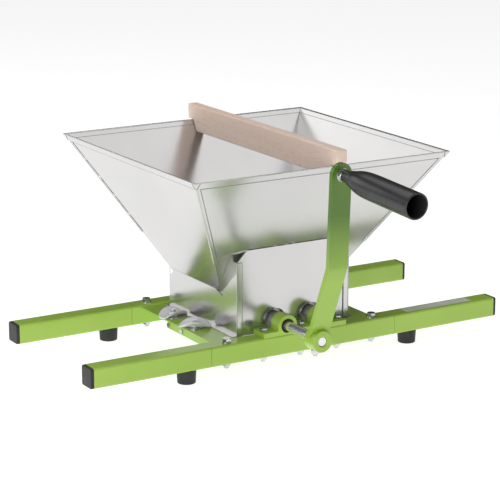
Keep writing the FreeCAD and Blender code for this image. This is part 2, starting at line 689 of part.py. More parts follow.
for side, sign, top in (("left", -1, left_panel_top), ("right", 1, right_panel_top)):
    x = sign * box_half_length
    drop = rim_height - top
    arris_front = hopper_offset_y - rim_half_width + drop * funnel_slope_y
    arris_rear = hopper_offset_y + rim_half_width - drop * funnel_slope_y
    front_corner_z = front_panel_top - panel_chamfer
    rear_corner_z = rear_panel_top - panel_chamfer
    tip_front = arris_front - corner_notch + notch_tip_drop * funnel_slope_y
    outline = [
        (-box_front, plate_top),
        (-box_front, front_corner_z),
        (tip_front, top - notch_tip_drop),
        (tip_front + notch_relief, top),
        (arris_rear - corner_notch, top),
        (box_rear, min(rear_corner_z, top)),
        (box_rear, plate_top),
    ]
    inward = -sign * sheet
    panel = prism([V(x, py, pz) for py, pz in outline], V(inward, 0, 0))
    for depth_sign, y_out, corner_z in ((-1, box_front, front_corner_z), (1, box_rear, rear_corner_z)):
        x0, x1 = sorted((x, x - sign * panel_flange))
        y0, y1 = sorted((depth_sign * y_out, depth_sign * (y_out + sheet)))
        panel = panel.fuse(block(x0, x1, y0, y1, plate_top, corner_z))
    x0, x1 = sorted((x, x + sign * lip_width))
    panel = panel.fuse(block(x0, x1, -box_front, box_rear, plate_top, plate_top + sheet))
    for y in stud_places:
        x0, x1 = sorted((x, x + sign * stud_from_panel))
        panel = panel.fuse(block(x0, x1, y - ear_half_width, y + ear_half_width, plate_top, plate_top + sheet))
        stud_x = sign * (box_half_length + stud_from_panel)
        panel = panel.fuse(rod(ear_half_width, V(stud_x, y, plate_top), Z_AXIS, sheet))
    panel = panel.removeSplitter()
    for y in stud_places:
        panel = panel.cut(rod(stud_radius + 0.4, V(stud_x, y, plate_top - 1), Z_AXIS, sheet + 2))
    save(side + "_panel", panel.cut(funnel))

# ---- guide plates that lead the fruit from the panels to the rollers ----
guide_edge_x = roller_x + roller_radius + guide_gap
for side, sign in (("left", -1), ("right", 1)):
    inner = box_half_length - sheet
    outline = [(inner, guide_top), (inner, guide_top - guide_flange), (inner - sheet, guide_top - guide_flange),
               (inner - sheet, guide_top - 2 * sheet), (guide_edge_x, axis_z + guide_edge_height),
               (guide_edge_x + 0.6 * sheet, axis_z + guide_edge_height + 1.2 * sheet)]
    points = [V(sign * px, -(box_front - sheet - guide_end_gap), pz) for px, pz in outline]
    depth = box_front + box_rear - 2 * sheet - 2 * guide_end_gap
    save(side + "_guide_plate", prism(points, V(0, depth, 0)))

# ---- studs and wing nuts that hold the hopper down ----
studs = []
ear_top = plate_top + sheet
for sign, side in ((-1, "left"), (1, "right")):
    stud_x = sign * (box_half_length + stud_from_panel)
    for y, turn, place in zip(stud_places, wing_turns, ("rear", "front")):
        stud_foot = V(stud_x, y, plate_bottom - stud_head_height)
        length = ear_top + wing_hub_height + stud_past_nut - stud_foot.z
        head = rod(stud_head_radius, stud_foot, Z_AXIS, stud_head_height)
        studs.append(head.fuse(rod(stud_radius, stud_foot, Z_AXIS, length)).removeSplitter())

        base = V(stud_x, y, ear_top + 0.1)
        nut = Part.makeCone(wing_hub_radius, wing_hub_radius - 1.2, wing_hub_height, base, Z_AXIS)
        for wing_sign in (-1, 1):
            wing = rod(wing_half_width, V(0, 0, 0), Z_AXIS, wing_thickness)
            wing.translate(V(wing_length, 0, 0))
            wing = wing.fuse(block(2, wing_length, -wing_half_width * 0.6, wing_half_width * 0.6, 0, wing_thickness))
            wing.rotate(V(0, 0, 0), Y_AXIS, -wing_rise)
            wing.translate(V(0, 0, 1.0))
            wing.rotate(V(0, 0, 0), Z_AXIS, 0 if wing_sign > 0 else 180)
            wing.rotate(V(0, 0, 0), Z_AXIS, turn * -sign)
            wing.translate(base)
            nut = nut.fuse(wing)
        reach = wing_length + 2 * wing_half_width
        above = block(stud_x - reach, stud_x + reach, y - reach, y + reach, base.z, base.z + reach)
        nut = nut.common(above)
        nut = nut.cut(rod(stud_radius + running_clearance, base - Z_AXIS, Z_AXIS, reach))
        save(side + "_" + place + "_wing_nut", nut.removeSplitter())
save("hopper_studs", studs)

# ---- wooden pusher bar lying across the mouth ----
mouth_front = hopper_offset_y - rim_half_width - hem_reach
mouth_rear = hopper_offset_y + rim_half_width + hem_reach
inner_front = hopper_offset_y - rim_half_width + sheet + bar_side_gap
inner_rear = hopper_offset_y + rim_half_width - sheet - bar_side_gap
bar_top = rim_height + bar_above_rim
bar_bottom = bar_top - bar_height
taper = (rim_height - bar_bottom) * funnel_slope_y
outline = [
    (mouth_front - bar_overhang, bar_top), (mouth_front - bar_overhang, rim_height),
    (inner_front, rim_height), (inner_front + taper, bar_bottom),
    (inner_rear - taper, bar_bottom), (inner_rear, rim_height),
    (mouth_rear + bar_overhang, rim_height), (mouth_rear + bar_overhang, bar_top),
]
bar = prism([V(bar_place - bar_thickness / 2, py, pz) for py, pz in outline], V(bar_thickness, 0, 0))
save("pusher_bar", bar)

# ---- blank label on the front right arm ----
label_x = seam_x + label_from_seam
label = block(label_x, label_x + label_length, -rail_y - label_width / 2, -rail_y + label_width / 2,
              rail_top, rail_top + label_thickness)
save("label", label)
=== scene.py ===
import json
import math

import bmesh
import bpy
from mathutils import Matrix, Vector


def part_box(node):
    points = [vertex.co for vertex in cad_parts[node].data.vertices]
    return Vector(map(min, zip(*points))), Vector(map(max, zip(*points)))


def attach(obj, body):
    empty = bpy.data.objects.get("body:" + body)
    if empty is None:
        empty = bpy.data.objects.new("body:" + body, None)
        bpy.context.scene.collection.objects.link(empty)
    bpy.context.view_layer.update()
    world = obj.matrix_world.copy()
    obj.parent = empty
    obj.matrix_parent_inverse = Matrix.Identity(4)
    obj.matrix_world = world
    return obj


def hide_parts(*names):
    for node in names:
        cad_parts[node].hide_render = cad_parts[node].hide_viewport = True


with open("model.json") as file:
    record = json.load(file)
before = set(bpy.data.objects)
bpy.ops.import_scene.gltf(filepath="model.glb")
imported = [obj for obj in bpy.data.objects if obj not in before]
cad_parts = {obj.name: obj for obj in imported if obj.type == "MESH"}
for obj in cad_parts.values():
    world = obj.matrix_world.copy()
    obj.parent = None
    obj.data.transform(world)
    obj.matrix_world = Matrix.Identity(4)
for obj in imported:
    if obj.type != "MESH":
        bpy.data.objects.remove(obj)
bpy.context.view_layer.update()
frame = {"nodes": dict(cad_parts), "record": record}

frameNodes = frame["nodes"]
scene = bpy.context.scene
upward = Vector((0, 0, 1))


def nodeBox(name):
    low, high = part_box(name)
    return low, high, (low + high) / 2


weldDistance = 1e-7  # points nearer than this in a new mesh are one point
railFront = nodeBox("front_rail")
railRear = nodeBox("rear_rail")
middleY = (railFront[2].y + railRear[2].y) / 2  # halfway between the rails
print("frame read")


def startFinish(name, metallic=0.0, roughness=0.5):
    finish = bpy.data.materials.new(name)
    finish.use_nodes = True
    tree = finish.node_tree
    shader = tree.nodes["Principled BSDF"]
    shader.inputs["Metallic"].default_value = metallic
    shader.inputs["Roughness"].default_value = roughness
    return finish, tree, shader


def put(tree, kind, inputs=None, **settings):
    node = tree.nodes.new(kind)
    for key, value in settings.items():
        setattr(node, key, value)
    for key, value in (inputs or {}).items():
        if isinstance(value, bpy.types.NodeSocket):
            tree.links.new(value, node.inputs[key])
        else:
            node.inputs[key].default_value = value
    return node


def grain(tree, scale, stretch=(1, 1, 1), detail=3.0, rough=0.55, warp=0.0):
    # noise in the piece's own metres, drawn out along the axes where stretch is small
    place = put(tree, "ShaderNodeTexCoord").outputs["Object"]
    placed = put(tree, "ShaderNodeMapping", {"Vector": place, "Scale": stretch})
    noise = put(tree, "ShaderNodeTexNoise", {"Vector": placed.outputs[0], "Scale": scale, "Detail": detail,
                                             "Roughness": rough, "Distortion": warp})
    return noise.outputs["Fac"]


def spread(tree, value, fromLow, fromHigh, toLow, toHigh):
    return put(tree, "ShaderNodeMapRange", {"Value": value, "From Min": fromLow, "From Max": fromHigh,
                                            "To Min": toLow, "To Max": toHigh}).outputs[0]


def blendColours(tree, share, first, second):
    node = tree.nodes.new("ShaderNodeMix")
    node.data_type = "RGBA"
    for index, value in ((0, share), (6, first), (7, second)):  # the share and the two colour sockets
        if isinstance(value, bpy.types.NodeSocket):
            tree.links.new(value, node.inputs[index])
        else:
            node.inputs[index].default_value = (*value, 1.0) if index else value
    return node.outputs[2]


def sumOf(tree, first, second, share=1.0):
    scaled = put(tree, "ShaderNodeMath", {0: second, 1: share}, operation="MULTIPLY").outputs[0]
    return put(tree, "ShaderNodeMath", {0: first, 1: scaled}, operation="ADD").outputs[0]


def soften(tree, radius):
    return put(tree, "ShaderNodeBevel", {"Radius": radius}, samples=4).outputs[0]


def relief(tree, shader, height, depth, edge=0.0):
    inputs = {"Height": height, "Distance": depth, "Strength": 1.0}
    if edge:
        inputs["Normal"] = soften(tree, edge)  # catches light along worn edges
    bump = put(tree, "ShaderNodeBump", inputs)
    tree.links.new(bump.outputs[0], shader.inputs["Normal"])


def join(tree, value, shader, socket):
    tree.links.new(value, shader.inputs[socket])


powderCoat = dict(light=(0.415, 0.645, 0.078), deep=(0.370, 0.590, 0.060), fleck=(0.50, 0.72, 0.17),
                  cloudScale=9.0, speckScale=2600.0, fleckShare=0.14, peelScale=420.0, peelDepth=0.00003,
                  speckShare=0.12, coat=0.45, coatRoughness=0.14, roughness=(0.30, 0.40), edge=0.0006)


def coatTexture(tree, shader, spec):
    # orange peel, fine specks and the clear gloss of baked powder
    speck = grain(tree, spec["speckScale"], detail=1.0)
    peel = grain(tree, spec["peelScale"], detail=2.0, rough=0.4)
    join(tree, spread(tree, peel, 0.3, 0.7, *spec["roughness"]), shader, "Roughness")
    relief(tree, shader, sumOf(tree, peel, speck, spec["speckShare"]), spec["peelDepth"], spec["edge"])
    shader.inputs["Coat Weight"].default_value = spec["coat"]
    shader.inputs["Coat Roughness"].default_value = spec["coatRoughness"]
    return speck


def makePowderCoat(spec):
    finish, tree, shader = startFinish("limePowderCoat")
    cloud = grain(tree, spec["cloudScale"], detail=2.0)
    tint = blendColours(tree, spread(tree, cloud, 0.35, 0.65, 0.0, 1.0), spec["deep"], spec["light"])
    fleck = spread(tree, coatTexture(tree, shader, spec), 0.62, 0.78, 0.0, spec["fleckShare"])
    join(tree, blendColours(tree, fleck, tint, spec["fleck"]), shader, "Base Color")
    return finish


# painted shade: the crank's coat goes from its own lime at lowHeight to a dark green at highHeight, standing
# in for the grip's shade and dark reflection
crankShadedCoat = dict(lowGreen=(0.345, 0.555, 0.060), paintedShadeGreen=(0.080, 0.190, 0.002), lowHeight=0.130,
                 highHeight=0.215, cloudScale=14.0, cloudShare=0.12)


def makeCrankShadedCoat(spec, base):
    # the same coat with painted shade: its green darkens towards the top of the arm, standing in for the
    # shade and dark reflection that the grip casts there
    finish, tree, shader = startFinish("crankPowderCoatPaintedShade")
    place = put(tree, "ShaderNodeTexCoord").outputs["Object"]
    height = put(tree, "ShaderNodeSeparateXYZ", {0: place}).outputs["Z"]
    share = spread(tree, height, spec["lowHeight"], spec["highHeight"], 0.0, 1.0)
    cloud = grain(tree, spec["cloudScale"], detail=2.0)
    share = sumOf(tree, share, spread(tree, cloud, 0.3, 0.7, -0.5, 0.5), spec["cloudShare"])
    join(tree, blendColours(tree, share, spec["lowGreen"], spec["paintedShadeGreen"]), shader, "Base Color")
    coatTexture(tree, shader, base)
    return finish


satinSheet = dict(metallic=0.92, light=(0.670, 0.660, 0.658), deep=(0.620, 0.611, 0.609), cloudScale=5.0,
                  cloudShare=0.85, streakScale=60.0, streakStretch=(1.0, 1.0, 0.05), streakShare=0.08,
                  brushScale=1500.0, brushShare=0.05, roughness=(0.160, 0.175), rubScale=11.0, rubShare=0.05,
                  wave=3.0, waveStretch=(1.0, 1.0, 0.6), waveDepth=0.00040, edge=0.0007)


def makeSatinSheet(spec):
    finish, tree, shader = startFinish("satinStainless", metallic=spec["metallic"])
    cloud = grain(tree, spec["cloudScale"], detail=3.0, warp=0.3)
    streak = grain(tree, spec["streakScale"], stretch=spec["streakStretch"], detail=3.0)
    brush = grain(tree, spec["brushScale"], stretch=spec["streakStretch"], detail=1.0)
    tone = sumOf(tree, spread(tree, cloud, 0.35, 0.65, 0.0, spec["cloudShare"]), streak, spec["streakShare"])
    tone = sumOf(tree, tone, brush, spec["brushShare"])
    join(tree, blendColours(tree, tone, spec["deep"], spec["light"]), shader, "Base Color")
    rubbed = grain(tree, spec["rubScale"], detail=2.0, rough=0.5, warp=0.3)
    gloss = sumOf(tree, spread(tree, streak, 0.3, 0.7, *spec["roughness"]), rubbed, spec["rubShare"])
    join(tree, gloss, shader, "Roughness")
    wave = grain(tree, spec["wave"], stretch=spec["waveStretch"], detail=0.0, rough=0.3)
    relief(tree, shader, wave, spec["waveDepth"], spec["edge"])
    return finish


metalWear = dict(cloudShare=0.6, lineShare=0.4, smudgeScale=22.0, smudgeShare=0.03)


def makeMetal(name, spec):
    finish, tree, shader = startFinish(name, metallic=spec.get("metallic", 1.0))
    cloud = grain(tree, spec.get("cloudScale", 14.0), detail=3.0)
    lines = grain(tree, spec["lineScale"], stretch=spec["stretch"], detail=4.0, rough=0.6)
    smudge = grain(tree, metalWear["smudgeScale"], detail=5.0, rough=0.65, warp=0.4)
    tone = sumOf(tree, spread(tree, cloud, 0.35, 0.65, 0.0, metalWear["cloudShare"]), lines,
                 metalWear["lineShare"])
    join(tree, blendColours(tree, tone, spec["deep"], spec["light"]), shader, "Base Color")
    gloss = sumOf(tree, spread(tree, lines, 0.3, 0.7, *spec["roughness"]),
                  spread(tree, smudge, 0.5, 0.8, 0.0, 1.0), metalWear["smudgeShare"])
    join(tree, gloss, shader, "Roughness")
    relief(tree, shader, lines, spec["lineDepth"], spec.get("edge", 0.0003))
    return finish


zincPlate = dict(light=(0.80, 0.81, 0.84), deep=(0.44, 0.45, 0.48), lineScale=700.0, stretch=(1, 1, 1),
                 roughness=(0.14, 0.26), lineDepth=0.0000015, cloudScale=120.0, edge=0.0003)
pressedZinc = dict(metallic=0.15, light=(0.97, 0.96, 0.99), deep=(0.90, 0.89, 0.93), lineScale=500.0,
                   stretch=(1, 1, 1), roughness=(0.34, 0.44), lineDepth=0.0000006, cloudScale=90.0, edge=0.0)
groundShaft = dict(metallic=0.8, light=(0.97, 0.96, 0.98), deep=(0.74, 0.73, 0.76), lineScale=900.0,
                   stretch=(1, 0.03, 1), roughness=(0.06, 0.13), lineDepth=0.0000008, edge=0.0003)
turnedCollar = dict(metallic=0.6, light=(0.50, 0.51, 0.47), deep=(0.36, 0.37, 0.34), lineScale=900.0,
                    stretch=(0.1, 1.0, 0.1), roughness=(0.24, 0.36), lineDepth=0.000002, edge=0.0004)
castAluminium = dict(light=(0.70, 0.70, 0.71), deep=(0.50, 0.50, 0.52), lineScale=300.0, stretch=(1, 0.1, 1),
                     roughness=(0.30, 0.45), lineDepth=0.000006, cloudScale=60.0, edge=0.0005)
hobbedSteel = dict(light=(0.30, 0.30, 0.31), deep=(0.16, 0.16, 0.17), lineScale=800.0, stretch=(0.2, 0.2, 1),
                   roughness=(0.28, 0.42), lineDepth=0.000004, cloudScale=70.0, edge=0.0004)
# painted shade: a mid grey for the thin shadow lines along the hem fold, the step inside the rim and the
# flange edges of the front arrises and of the panels
softSeamPaintedShade = dict(metallic=0.8, light=(0.36, 0.355, 0.35), deep=(0.26, 0.257, 0.254), lineScale=300.0,
                     stretch=(1, 1, 1), roughness=(0.35, 0.5), lineDepth=0.000004, cloudScale=40.0, edge=0.0)
burntTack = dict(metallic=0.8, light=(0.52, 0.47, 0.40), deep=(0.24, 0.20, 0.15), lineScale=600.0,
                 stretch=(1, 1, 1), roughness=(0.35, 0.5), lineDepth=0.000006, cloudScale=200.0, edge=0.0)
oiledBronze = dict(light=(0.060, 0.045, 0.030), deep=(0.025, 0.020, 0.016), lineScale=1500.0,
                   stretch=(1, 1, 1), roughness=(0.26, 0.42), lineDepth=0.000003, cloudScale=90.0,
                   edge=0.0003)
zincTube = dict(light=(0.70, 0.71, 0.73), deep=(0.52, 0.53, 0.56), lineScale=400.0, stretch=(0.05, 1, 1),
                roughness=(0.26, 0.40), lineDepth=0.000004, cloudScale=50.0)
# painted shade: a near black for the shadow in the open joints of the panels, at the cut ends of the hem and
# along the rear arris flange edges
seamPaintedShade = dict(metallic=0.6, light=(0.13, 0.125, 0.12), deep=(0.035, 0.033, 0.032), lineScale=300.0,
                 stretch=(1, 1, 1), roughness=(0.45, 0.65), lineDepth=0.000008, cloudScale=70.0, edge=0.0)


def makeMoulded(name, spec, cloudScale=30.0):
    finish, tree, shader = startFinish(name)
    cloud = grain(tree, cloudScale, detail=3.0)
    pores = grain(tree, spec["poreScale"], detail=2.0, rough=0.5)
    join(tree, blendColours(tree, spread(tree, cloud, 0.35, 0.65, 0.0, 1.0), spec["deep"], spec["light"]),
         shader, "Base Color")
    join(tree, spread(tree, pores, 0.35, 0.65, *spec["roughness"]), shader, "Roughness")
    relief(tree, shader, pores, spec["poreDepth"], spec.get("edge", 0.0004))
    shader.inputs["Specular IOR Level"].default_value = spec["specular"]
    return finish


gripPlastic = dict(light=(0.024, 0.024, 0.026), deep=(0.014, 0.014, 0.016), poreScale=1500.0,
                   poreDepth=0.00001, roughness=(0.26, 0.36), specular=0.60, edge=0.0003)
capPlastic = dict(light=(0.030, 0.030, 0.033), deep=(0.016, 0.016, 0.018), poreScale=1200.0,
                  poreDepth=0.00005, roughness=(0.42, 0.58), specular=0.5, edge=0.0006)
footRubber = dict(light=(0.034, 0.034, 0.036), deep=(0.020, 0.020, 0.022), poreScale=1600.0,
                  poreDepth=0.00006, roughness=(0.50, 0.66), specular=0.45, edge=0.0006)
blankLabel = dict(light=(0.80, 0.84, 0.76), deep=(0.70, 0.75, 0.63), poreScale=900.0, poreDepth=0.00001,
                  roughness=(0.30, 0.40), specular=0.5)
beechWood = dict(pale=(0.98, 0.80, 0.69), warm=(0.93, 0.68, 0.55), vein=(0.58, 0.37, 0.27),
                 knot=(0.62, 0.36, 0.22), broadScale=26.0, broadShare=0.55, ringScale=190.0, ringShare=0.45,
                 blushScale=30.0, blushShare=0.45, fleckScale=900.0, fleckShare=0.40, roughness=(0.50, 0.64),
                 grainDepth=0.00008, specular=0.35, edge=0.0006)


def makeBeech(spec):
    # growth rings, warm patches and short dark flecks, all drawn out along the bar
    finish, tree, shader = startFinish("planedBeech")
    rings = grain(tree, spec["ringScale"], stretch=(1.0, 0.035, 0.55), detail=4.0, rough=0.5, warp=0.6)
    broad = grain(tree, spec["broadScale"], stretch=(1.0, 0.12, 0.8), detail=2.0)
    flecks = grain(tree, spec["fleckScale"], stretch=(1.0, 0.07, 1.0), detail=1.0)
    blush = grain(tree, spec["blushScale"], stretch=(1.0, 0.35, 1.0), detail=4.0, rough=0.6, warp=1.2)
    tint = blendColours(tree, spread(tree, broad, 0.35, 0.65, 0.0, spec["broadShare"]), spec["pale"],
                        spec["warm"])
    tint = blendColours(tree, spread(tree, rings, 0.45, 0.72, 0.0, spec["ringShare"]), tint, spec["warm"])
    tint = blendColours(tree, spread(tree, blush, 0.60, 0.74, 0.0, spec["blushShare"]), tint, spec["knot"])
    tint = blendColours(tree, spread(tree, flecks, 0.62, 0.70, 0.0, spec["fleckShare"]), tint, spec["vein"])
    join(tree, tint, shader, "Base Color")
    join(tree, spread(tree, rings, 0.3, 0.7, *spec["roughness"]), shader, "Roughness")
    relief(tree, shader, sumOf(tree, rings, flecks, -0.5), spec["grainDepth"], spec["edge"])
    shader.inputs["Specular IOR Level"].default_value = spec["specular"]
    return finish


finishes = dict(
    green=makePowderCoat(powderCoat),
    crank=makeCrankShadedCoat(crankShadedCoat, powderCoat),
    sheet=makeSatinSheet(satinSheet),
    zinc=makeMetal("zincPlate", zincPlate),
    pressed=makeMetal("pressedZinc", pressedZinc),
    shaft=makeMetal("groundShaft", groundShaft),
    collar=makeMetal("turnedCollar", turnedCollar),
    roller=makeMetal("castAluminium", castAluminium),
    gear=makeMetal("hobbedSteel", hobbedSteel),
    bronze=makeMetal("oiledBronze", oiledBronze),
    tube=makeMetal("zincTube", zincTube),
    # seam and softSeam are painted shade for thin shadow lines
    seam=makeMetal("seamPaintedShade", seamPaintedShade),
    softSeam=makeMetal("softSeam", softSeamPaintedShade),
    tack=makeMetal("burntTack", burntTack),
    grip=makeMoulded("gripPlastic", gripPlastic),
    cap=makeMoulded("capPlastic", capPlastic),
    foot=makeMoulded("footRubber", footRubber),
    label=makeMoulded("blankLabelFilm", blankLabel),
    beech=makeBeech(beechWood),
)

finishOfSlot = dict(green_powder_coat="green", zinc_steel="tube", black_plastic="cap", black_rubber="foot",
                    stainless_sheet="sheet", bronze="bronze", bright_shaft="shaft", cast_aluminium="roller",
                    collar_steel="collar", gear_steel="gear", pressed_zinc="pressed", grip_plastic="grip",
                    beech="beech", label_film="label", zinc_fasteners="zinc")

for part in frame["record"]["subparts"]:
    piece = frameNodes[part["node"]]
    piece.data.materials.clear()
    # the crank arm gets the coat with painted shade that darkens its upper part
    finish = "crank" if part["node"] == "crank_arm" else finishOfSlot[part["material_slot"]]
    piece.data.materials.append(finishes[finish])
print("finishes on", len(frameNodes), "pieces")


def makePiece(name, points, faces, finish, body, sharp=38.0):
    mesh = bpy.data.meshes.new(name)
    mesh.from_pydata([tuple(point) for point in points], [], faces)
    shaped = bmesh.new()
    shaped.from_mesh(mesh)
    bmesh.ops.remove_doubles(shaped, verts=shaped.verts, dist=weldDistance)
    bmesh.ops.recalc_face_normals(shaped, faces=shaped.faces)
    shaped.to_mesh(mesh)
    shaped.free()
    for face in mesh.polygons:
        face.use_smooth = True
    mesh.set_sharp_from_angle(angle=math.radians(sharp))
    mesh.materials.append(finishes[finish])
    piece = bpy.data.objects.new(name, mesh)
    scene.collection.objects.link(piece)
    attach(piece, body)
    return piece


def roundEdges(piece, width, segments=3, angle=35.0):
    bevel = piece.modifiers.new("rounding", "BEVEL")
    bevel.width = width
    bevel.segments = segments
    bevel.limit_method = "ANGLE"
    bevel.angle_limit = math.radians(angle)
    return piece


def mergeShapes(shapes):
    points, faces = [], []
    for shapePoints, shapeFaces in shapes:
        start = len(points)
        points += list(shapePoints)
        faces += [tuple(start + corner for corner in face) for face in shapeFaces]
    return points, faces


def axesAbout(direction):
    along = direction.normalized()
    side = along.orthogonal().normalized()
    return along, side, along.cross(side)


def turnedShape(outline, start, direction, segments=48, closed=False):
    # (distance along, radius) pairs turned about an axis
    along, side, across = axesAbout(direction)
    points, faces = [], []
    for distance, radius in outline:
        for step in range(segments):
            angle = 2 * math.pi * step / segments
            spoke = side * math.cos(angle) + across * math.sin(angle)
            points.append(start + along * distance + spoke * radius)
    loops = len(outline)
    for loop in range(loops if closed else loops - 1):
        following = (loop + 1) % loops
        for step in range(segments):
            after = (step + 1) % segments
            faces.append((loop * segments + step, loop * segments + after,
                          following * segments + after, following * segments + step))
    return points, faces


def sweptShape(path, outline, normals):
    # (sideways, outward) pairs carried along a path, one (side, out) frame for each path point
    points, faces = [], []
    count = len(outline)
    for point, (side, out) in zip(path, normals):
        for across, off in outline:
            points.append(point + side * across + out * off)
    for step in range(len(path) - 1):
        for corner in range(count):
            after = (corner + 1) % count
            faces.append((step * count + corner, step * count + after,
                          (step + 1) * count + after, (step + 1) * count + corner))
    faces.append(tuple(range(count))[::-1])
    faces.append(tuple((len(path) - 1) * count + corner for corner in range(count)))
    return points, faces


def smoothOutline(knots, steps):
    # a Catmull-Rom curve through the knots
    curve = []
    for index in range(len(knots) - 1):
        before = knots[max(index - 1, 0)]
        first, second = knots[index], knots[index + 1]
        after = knots[min(index + 2, len(knots) - 1)]
        for step in range(steps):
            t = step / steps
            point = []
            for a, b, c, d in zip(before, first, second, after):
                square = (2 * a - 5 * b + 4 * c - d) * t * t
                cube = (3 * b - a - 3 * c + d) * t ** 3
                point.append(0.5 * (2 * b + (c - a) * t + square + cube))
            curve.append(tuple(point))
    curve.append(tuple(knots[-1]))
    return curve


def flatStrip(first, last, side, out, width, thick, sink=0.0002, wallShare=0.6, crownShare=0.3):
    # a thin raised strip along a straight run, lying on a surface, with its upper edges chamfered
    wall, crown = thick * wallShare, width * crownShare
    outline = [(-width / 2, -sink), (-width / 2, wall), (-crown, thick), (crown, thick), (width / 2, wall),
               (width / 2, -sink)]
    return sweptShape([first, last], outline, [(side, out)] * 2)


def bead(point, normal, along, length, width, height, rings=4, steps=14, unevenness=0.10):
    # an oval weld bead lying on a surface
    side = along.cross(normal).normalized()
    points, faces = [], []
    for ring in range(rings + 1):
        lift = math.sin(ring / rings * math.pi / 2)
        reach = math.cos(ring / rings * math.pi / 2)
        for step in range(steps):
            angle = 2 * math.pi * step / steps
            ripple = 1 + unevenness * math.sin(3 * angle + ring)
            forward = length / 2 * reach * math.cos(angle) * ripple
            sideways = width / 2 * reach * math.sin(angle) * ripple
            points.append(point + along * forward + side * sideways + normal * (height * lift))
    for ring in range(rings):
        for step in range(steps):
            after = (step + 1) % steps
            faces.append((ring * steps + step, ring * steps + after, (ring + 1) * steps + after,
                          (ring + 1) * steps + step))
    faces.append(tuple(range(steps))[::-1])
    return points, faces


hopper = dict(sheet=0.001, hemWidth=0.0075, hemReach=0.0018, rollHeight=0.0009, rollSkirt=0.0003,
              rollSteps=10, lineHeight=0.0020, lineLip=0.0012, lineDepth=0.0004, innerLineDrop=0.0050,
              innerLineHeight=0.0004, innerLineDepth=0.0003, sink=0.0002)
leftSheet = nodeBox("left_funnel_sheet")
rightSheet = nodeBox("right_funnel_sheet")
frontSheet = nodeBox("front_funnel_sheet")
rearSheet = nodeBox("rear_funnel_sheet")
rimHeight = frontSheet[1].z
funnelDrop = rimHeight - frontSheet[0].z
hopperX = (leftSheet[0].x + rightSheet[1].x) / 2
hopperY = (frontSheet[0].y + rearSheet[1].y) / 2
rimHalfLength = (rightSheet[1].x - leftSheet[0].x) / 2 - hopper["hemReach"]
rimHalfWidth = (rearSheet[1].y - frontSheet[0].y) / 2 - hopper["hemReach"]
slopeX = (rimHalfLength + leftSheet[1].x - hopper["sheet"] - hopperX) / funnelDrop
slopeY = (rimHalfWidth + frontSheet[1].y - hopper["sheet"] - hopperY) / funnelDrop
funnelCorners = ((-1, -1), (1, -1), (1, 1), (-1, 1))
funnelSides = ("front", "right", "rear", "left")


def funnelPoint(signX, signY, height, off=0.0):
    drop = rimHeight - height
    return Vector((hopperX + signX * (rimHalfLength - drop * slopeX + off),
                   hopperY + signY * (rimHalfWidth - drop * slopeY + off), height))


def sideNormals(signX, signY):
    return Vector((signX, 0, -slopeX)).normalized(), Vector((0, signY, -slopeY)).normalized()


def makeSheetPiece(name, shapes, finish, sharp=38.0):
    points, faces = mergeShapes(shapes)
    makePiece(name, points, faces, finish, "frame_and_hopper", sharp)


def rimStrip(index, outline):
    # an outline of (outset, rise) pairs carried along one side of the rim and mitred at its corners
    points = []
    for signX, signY in (funnelCorners[index], funnelCorners[(index + 1) % 4]):
        points += [funnelPoint(signX, signY, rimHeight + rise, outset) for outset, rise in outline]
    count = len(outline)
    faces = [(k, (k + 1) % count, count + (k + 1) % count, count + k) for k in range(count)]
    return points, faces + [tuple(range(count))[::-1], tuple(range(count, 2 * count))]


def makeRim():
    # the rolled top, and grey strips of painted shade along the open edge of the hem outside and along the
    # step in the sheet inside
    sheet, reach, roll = hopper["sheet"], hopper["hemReach"], hopper["rollHeight"]
    middle, radius = (reach - sheet) / 2, (reach + sheet) / 2
    sink, skirt, steps = hopper["sink"], hopper["rollSkirt"], hopper["rollSteps"]
    rollOutline = []
    for step in range(steps + 1):
        angle = math.pi * step / steps
        rollOutline.append((middle + radius * math.cos(angle), roll * math.sin(angle)))
    rollOutline += [(-sheet, -skirt), (reach, -skirt)]
    foldTop, foldDepth = -hopper["hemWidth"], hopper["lineDepth"]
    foldOutline = [(-sink, foldTop), (foldDepth, foldTop), (foldDepth, foldTop - hopper["lineLip"]),
                   (-sink, foldTop - hopper["lineHeight"])]
    innerTop = -hopper["innerLineDrop"]
    innerFoot = innerTop - hopper["innerLineHeight"]
    innerFace = -sheet - hopper["innerLineDepth"]
    innerOutline = [(-sheet + sink, innerTop), (innerFace, innerTop - sink), (innerFace, innerFoot),
                    (-sheet + sink, innerFoot - sink)]
    # the fold and inner edge strips take the softSeam grey as painted shade
    for index, side in enumerate(funnelSides):
        for kind, outline, finish in (("roll", rollOutline, "sheet"), ("fold_shade_line", foldOutline, "softSeam"),
                                      ("inner_edge", innerOutline, "softSeam")):
            makeSheetPiece(side + "_rim_" + kind, [rimStrip(index, outline)], finish, 50.0)


makeRim()

mitre = dict(width=0.0007, depth=0.00025, lowInset=0.0012, highInset=0.0072, topGap=0.0006)


def makeRimMitres():
    # dark strips of painted shade at the cut ends of the hem, a little way in from each corner
    shapes = []
    for signX, signY in funnelCorners:
        low = funnelPoint(signX, signY, rimHeight - hopper["hemWidth"], hopper["hemReach"])
        high = funnelPoint(signX, signY, rimHeight - mitre["topGap"], hopper["hemReach"])
        towardsX, towardsY = Vector((-signX, 0, 0)), Vector((0, -signY, 0))
        for step, out in ((towardsX, -towardsY), (towardsY, -towardsX)):
            first, last = low + step * mitre["lowInset"], high + step * mitre["highInset"]
            shapes.append(flatStrip(first, last, step, out, mitre["width"], mitre["depth"]))
    makeSheetPiece("rim_mitre_shade_lines", shapes, "seam")


makeRimMitres()
print("rim made")

arris = dict(ribWidth=0.0030, ribSteps=6, ribShare=0.8, flangeStart=0.0006, flangeWidth=0.0040,
             flangeThick=0.0009, flangeEase=0.0004, startShare=0.9, edgeShare=0.6, sink=0.0002,
             footLift=0.001, lineWidth=0.0007, lineThick=0.0003, lineGap=0.0006, dashes=5, dashShare=0.90,
             tackLength=0.0050, tackWidth=0.0019, tackHeight=0.0006)
leftPanelTop = nodeBox("left_panel")[1].z


